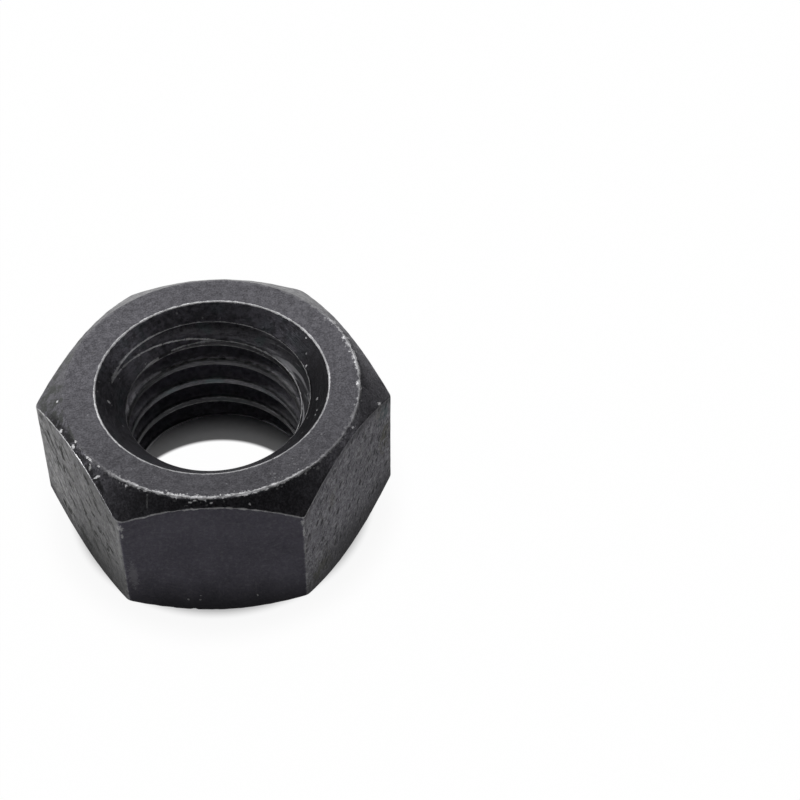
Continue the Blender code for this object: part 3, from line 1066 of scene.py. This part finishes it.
def white_floor():
    """A wide white floor that keeps the nut's soft shadow close by, and can't be seen from below."""
    half = FLOOR_SIDE / 2
    corners = [(-half, -half, 0), (half, -half, 0), (half, half, 0), (-half, half, 0)]
    floor = flat_board("studio_floor", corners)
    material = bare_material("white_floor")
    wires = Wiring(material.node_tree)
    place = wires.node("ShaderNodeTexCoord").outputs["Object"]
    place = wires.scaled(place, 1 / MM)
    reach = wires.vector("LENGTH", place)
    # The shadow is deepest where the nut stands and fades outwards all round
    outside = wires.plus(wires.ramp(reach, 12.6, 14.3, 0.2, 0.93), wires.ramp(reach, 14.0, 18.0, 0.0, 0.065))
    # Painted light: in the bore the floor glows round one spot, a pool of light with a faint wide border
    from_spot = wires.vector("DISTANCE", place, BRIGHT_SPOT)
    bright = wires.ramp(from_spot, 8.7, 9.15, 0.93, 0.0)
    in_bore = wires.plus(bright, wires.ramp(from_spot, 8.9, 12.1, 0.063, 0.0))
    under = wires.below(reach, UNDER_NUT)
    open_floor = wires.times(outside, wires.minus(1.0, under))
    glow_share = wires.times(wires.plus(open_floor, wires.times(in_bore, under)), seen_share(wires))
    lit = wires.node("ShaderNodeBsdfDiffuse", None, {"Color": (0.9, 0.9, 0.9, 1)})
    glow = wires.node("ShaderNodeEmission", None, {"Color": (1, 1, 1, 1), "Strength": 1.0})
    upper_side = wires.blend_shaders(glow_share, lit, glow)
    behind = wires.node("ShaderNodeNewGeometry").outputs["Backfacing"]
    clear = wires.node("ShaderNodeBsdfTransparent")
    wires.to_output("ShaderNodeOutputMaterial", wires.blend_shaders(behind, upper_side, clear))
    floor.data.materials.append(material)


def black_flag(name, bearings, rises):
    """A matt black shell round part of the studio, which keeps light off the nut, unseen by the camera."""
    corners = []
    faces = []
    across = np.radians(np.linspace(bearings[0], bearings[1], 17))
    upward = np.radians(np.linspace(rises[0], rises[1], 8))
    for rise in upward:
        for bearing in across:
            way = Vector((cos(rise) * cos(bearing), cos(rise) * sin(bearing), sin(rise)))
            corners.append(way * FLAG_DISTANCE * MM)
    for row in range(len(upward) - 1):
        for column in range(len(across) - 1):
            first = row * len(across) + column
            faces.append((first, first + 1, first + 1 + len(across), first + len(across)))
    mesh = bpy.data.meshes.new(name)
    mesh.from_pydata(corners, [], faces)
    flag = in_scene(name, mesh)
    material = bare_material("black_cloth")
    wires = Wiring(material.node_tree)
    given = {"Base Color": (0.01, 0.01, 0.01, 1), "Roughness": 0.9, "Specular IOR Level": 0.1}
    wires.to_output("ShaderNodeOutputMaterial", wires.node("ShaderNodeBsdfPrincipled", None, given))
    flag.data.materials.append(material)
    flag.visible_camera = False


def soft_lamp(name, place, size, power):
    """A square area lamp that looks at the middle of the nut. Its place and size are in millimetres."""
    data = bpy.data.lights.new(name, "AREA")
    data.shape = "SQUARE"
    data.size = size * MM
    data.energy = power
    lamp = in_scene(name, data)
    lamp.location = Vector(place) * MM
    away = Vector(LAMP_AIM) - Vector(place)
    lamp.rotation_mode = "QUATERNION"
    lamp.rotation_quaternion = away.to_track_quat("-Z", "Y")


def photograph_camera():
    """The camera that the photograph was taken with, as fitted to the nut's outline."""
    right = Vector((cos(CAMERA_TURN), -sin(CAMERA_TURN), 0.0))
    level = Vector((sin(CAMERA_TURN), cos(CAMERA_TURN), 0.0))
    upright = Vector((0.0, 0.0, 1.0))
    down = -sin(CAMERA_TILT) * level - cos(CAMERA_TILT) * upright
    ahead = cos(CAMERA_TILT) * level - sin(CAMERA_TILT) * upright
    rolled_right = cos(CAMERA_ROLL) * right - sin(CAMERA_ROLL) * down
    rolled_down = sin(CAMERA_ROLL) * right + cos(CAMERA_ROLL) * down
    middle = Vector((0.0, 0.0, HEIGHT / 2))
    eye = middle - NUT_RIGHT * rolled_right - NUT_DOWN * rolled_down - NUT_AHEAD * ahead
    data = bpy.data.cameras.new("photograph_camera")
    data.sensor_fit = "HORIZONTAL"
    data.sensor_width = SENSOR_WIDTH
    data.lens = SENSOR_WIDTH * FOCAL_PIXELS / PICTURE_SIDE
    data.clip_start = 0.005
    data.clip_end = 10.0
    camera = in_scene("photograph_camera", data)
    axes = Matrix((rolled_right, -rolled_down, -ahead)).transposed().to_4x4()
    camera.matrix_world = Matrix.Translation(eye * MM) @ axes
    bpy.context.scene.camera = camera


def build_nut():
    groups = {
        "grain": grain_group(),
        "edge": worn_edge_group(),
        "specks": speck_group(),
        "mark": mark_group(),
    }
    nut = in_scene("steel_nut", nut_mesh())
    for material in (face_steel(groups), chamfer_steel(groups), flat_steel(groups), thread_steel(groups)):
        nut.data.materials.append(material)
    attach(nut, "root")
    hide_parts("hex_nut")


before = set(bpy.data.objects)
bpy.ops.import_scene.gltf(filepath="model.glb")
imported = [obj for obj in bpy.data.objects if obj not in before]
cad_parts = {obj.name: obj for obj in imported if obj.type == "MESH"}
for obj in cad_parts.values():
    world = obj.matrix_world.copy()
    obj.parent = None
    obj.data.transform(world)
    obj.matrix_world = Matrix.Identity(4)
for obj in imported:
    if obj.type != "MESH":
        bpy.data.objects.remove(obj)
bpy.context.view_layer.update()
build_nut()
white_floor()
black_flag("front_flag", (-180.0, 20.0), (20.0, 78.0))
black_flag("right_flag", (8.0, 62.0), (2.0, 40.0))
studio_world()
soft_lamp("back_lamp", (-90, 380, 320), 300, 1.2)
soft_lamp("left_lamp", (-400, -10, 36), 160, 1.0)
soft_lamp("right_lamp", (390, -20, 40), 160, 0.5)
photograph_camera()
bpy.context.scene.view_settings.view_transform = "Standard"
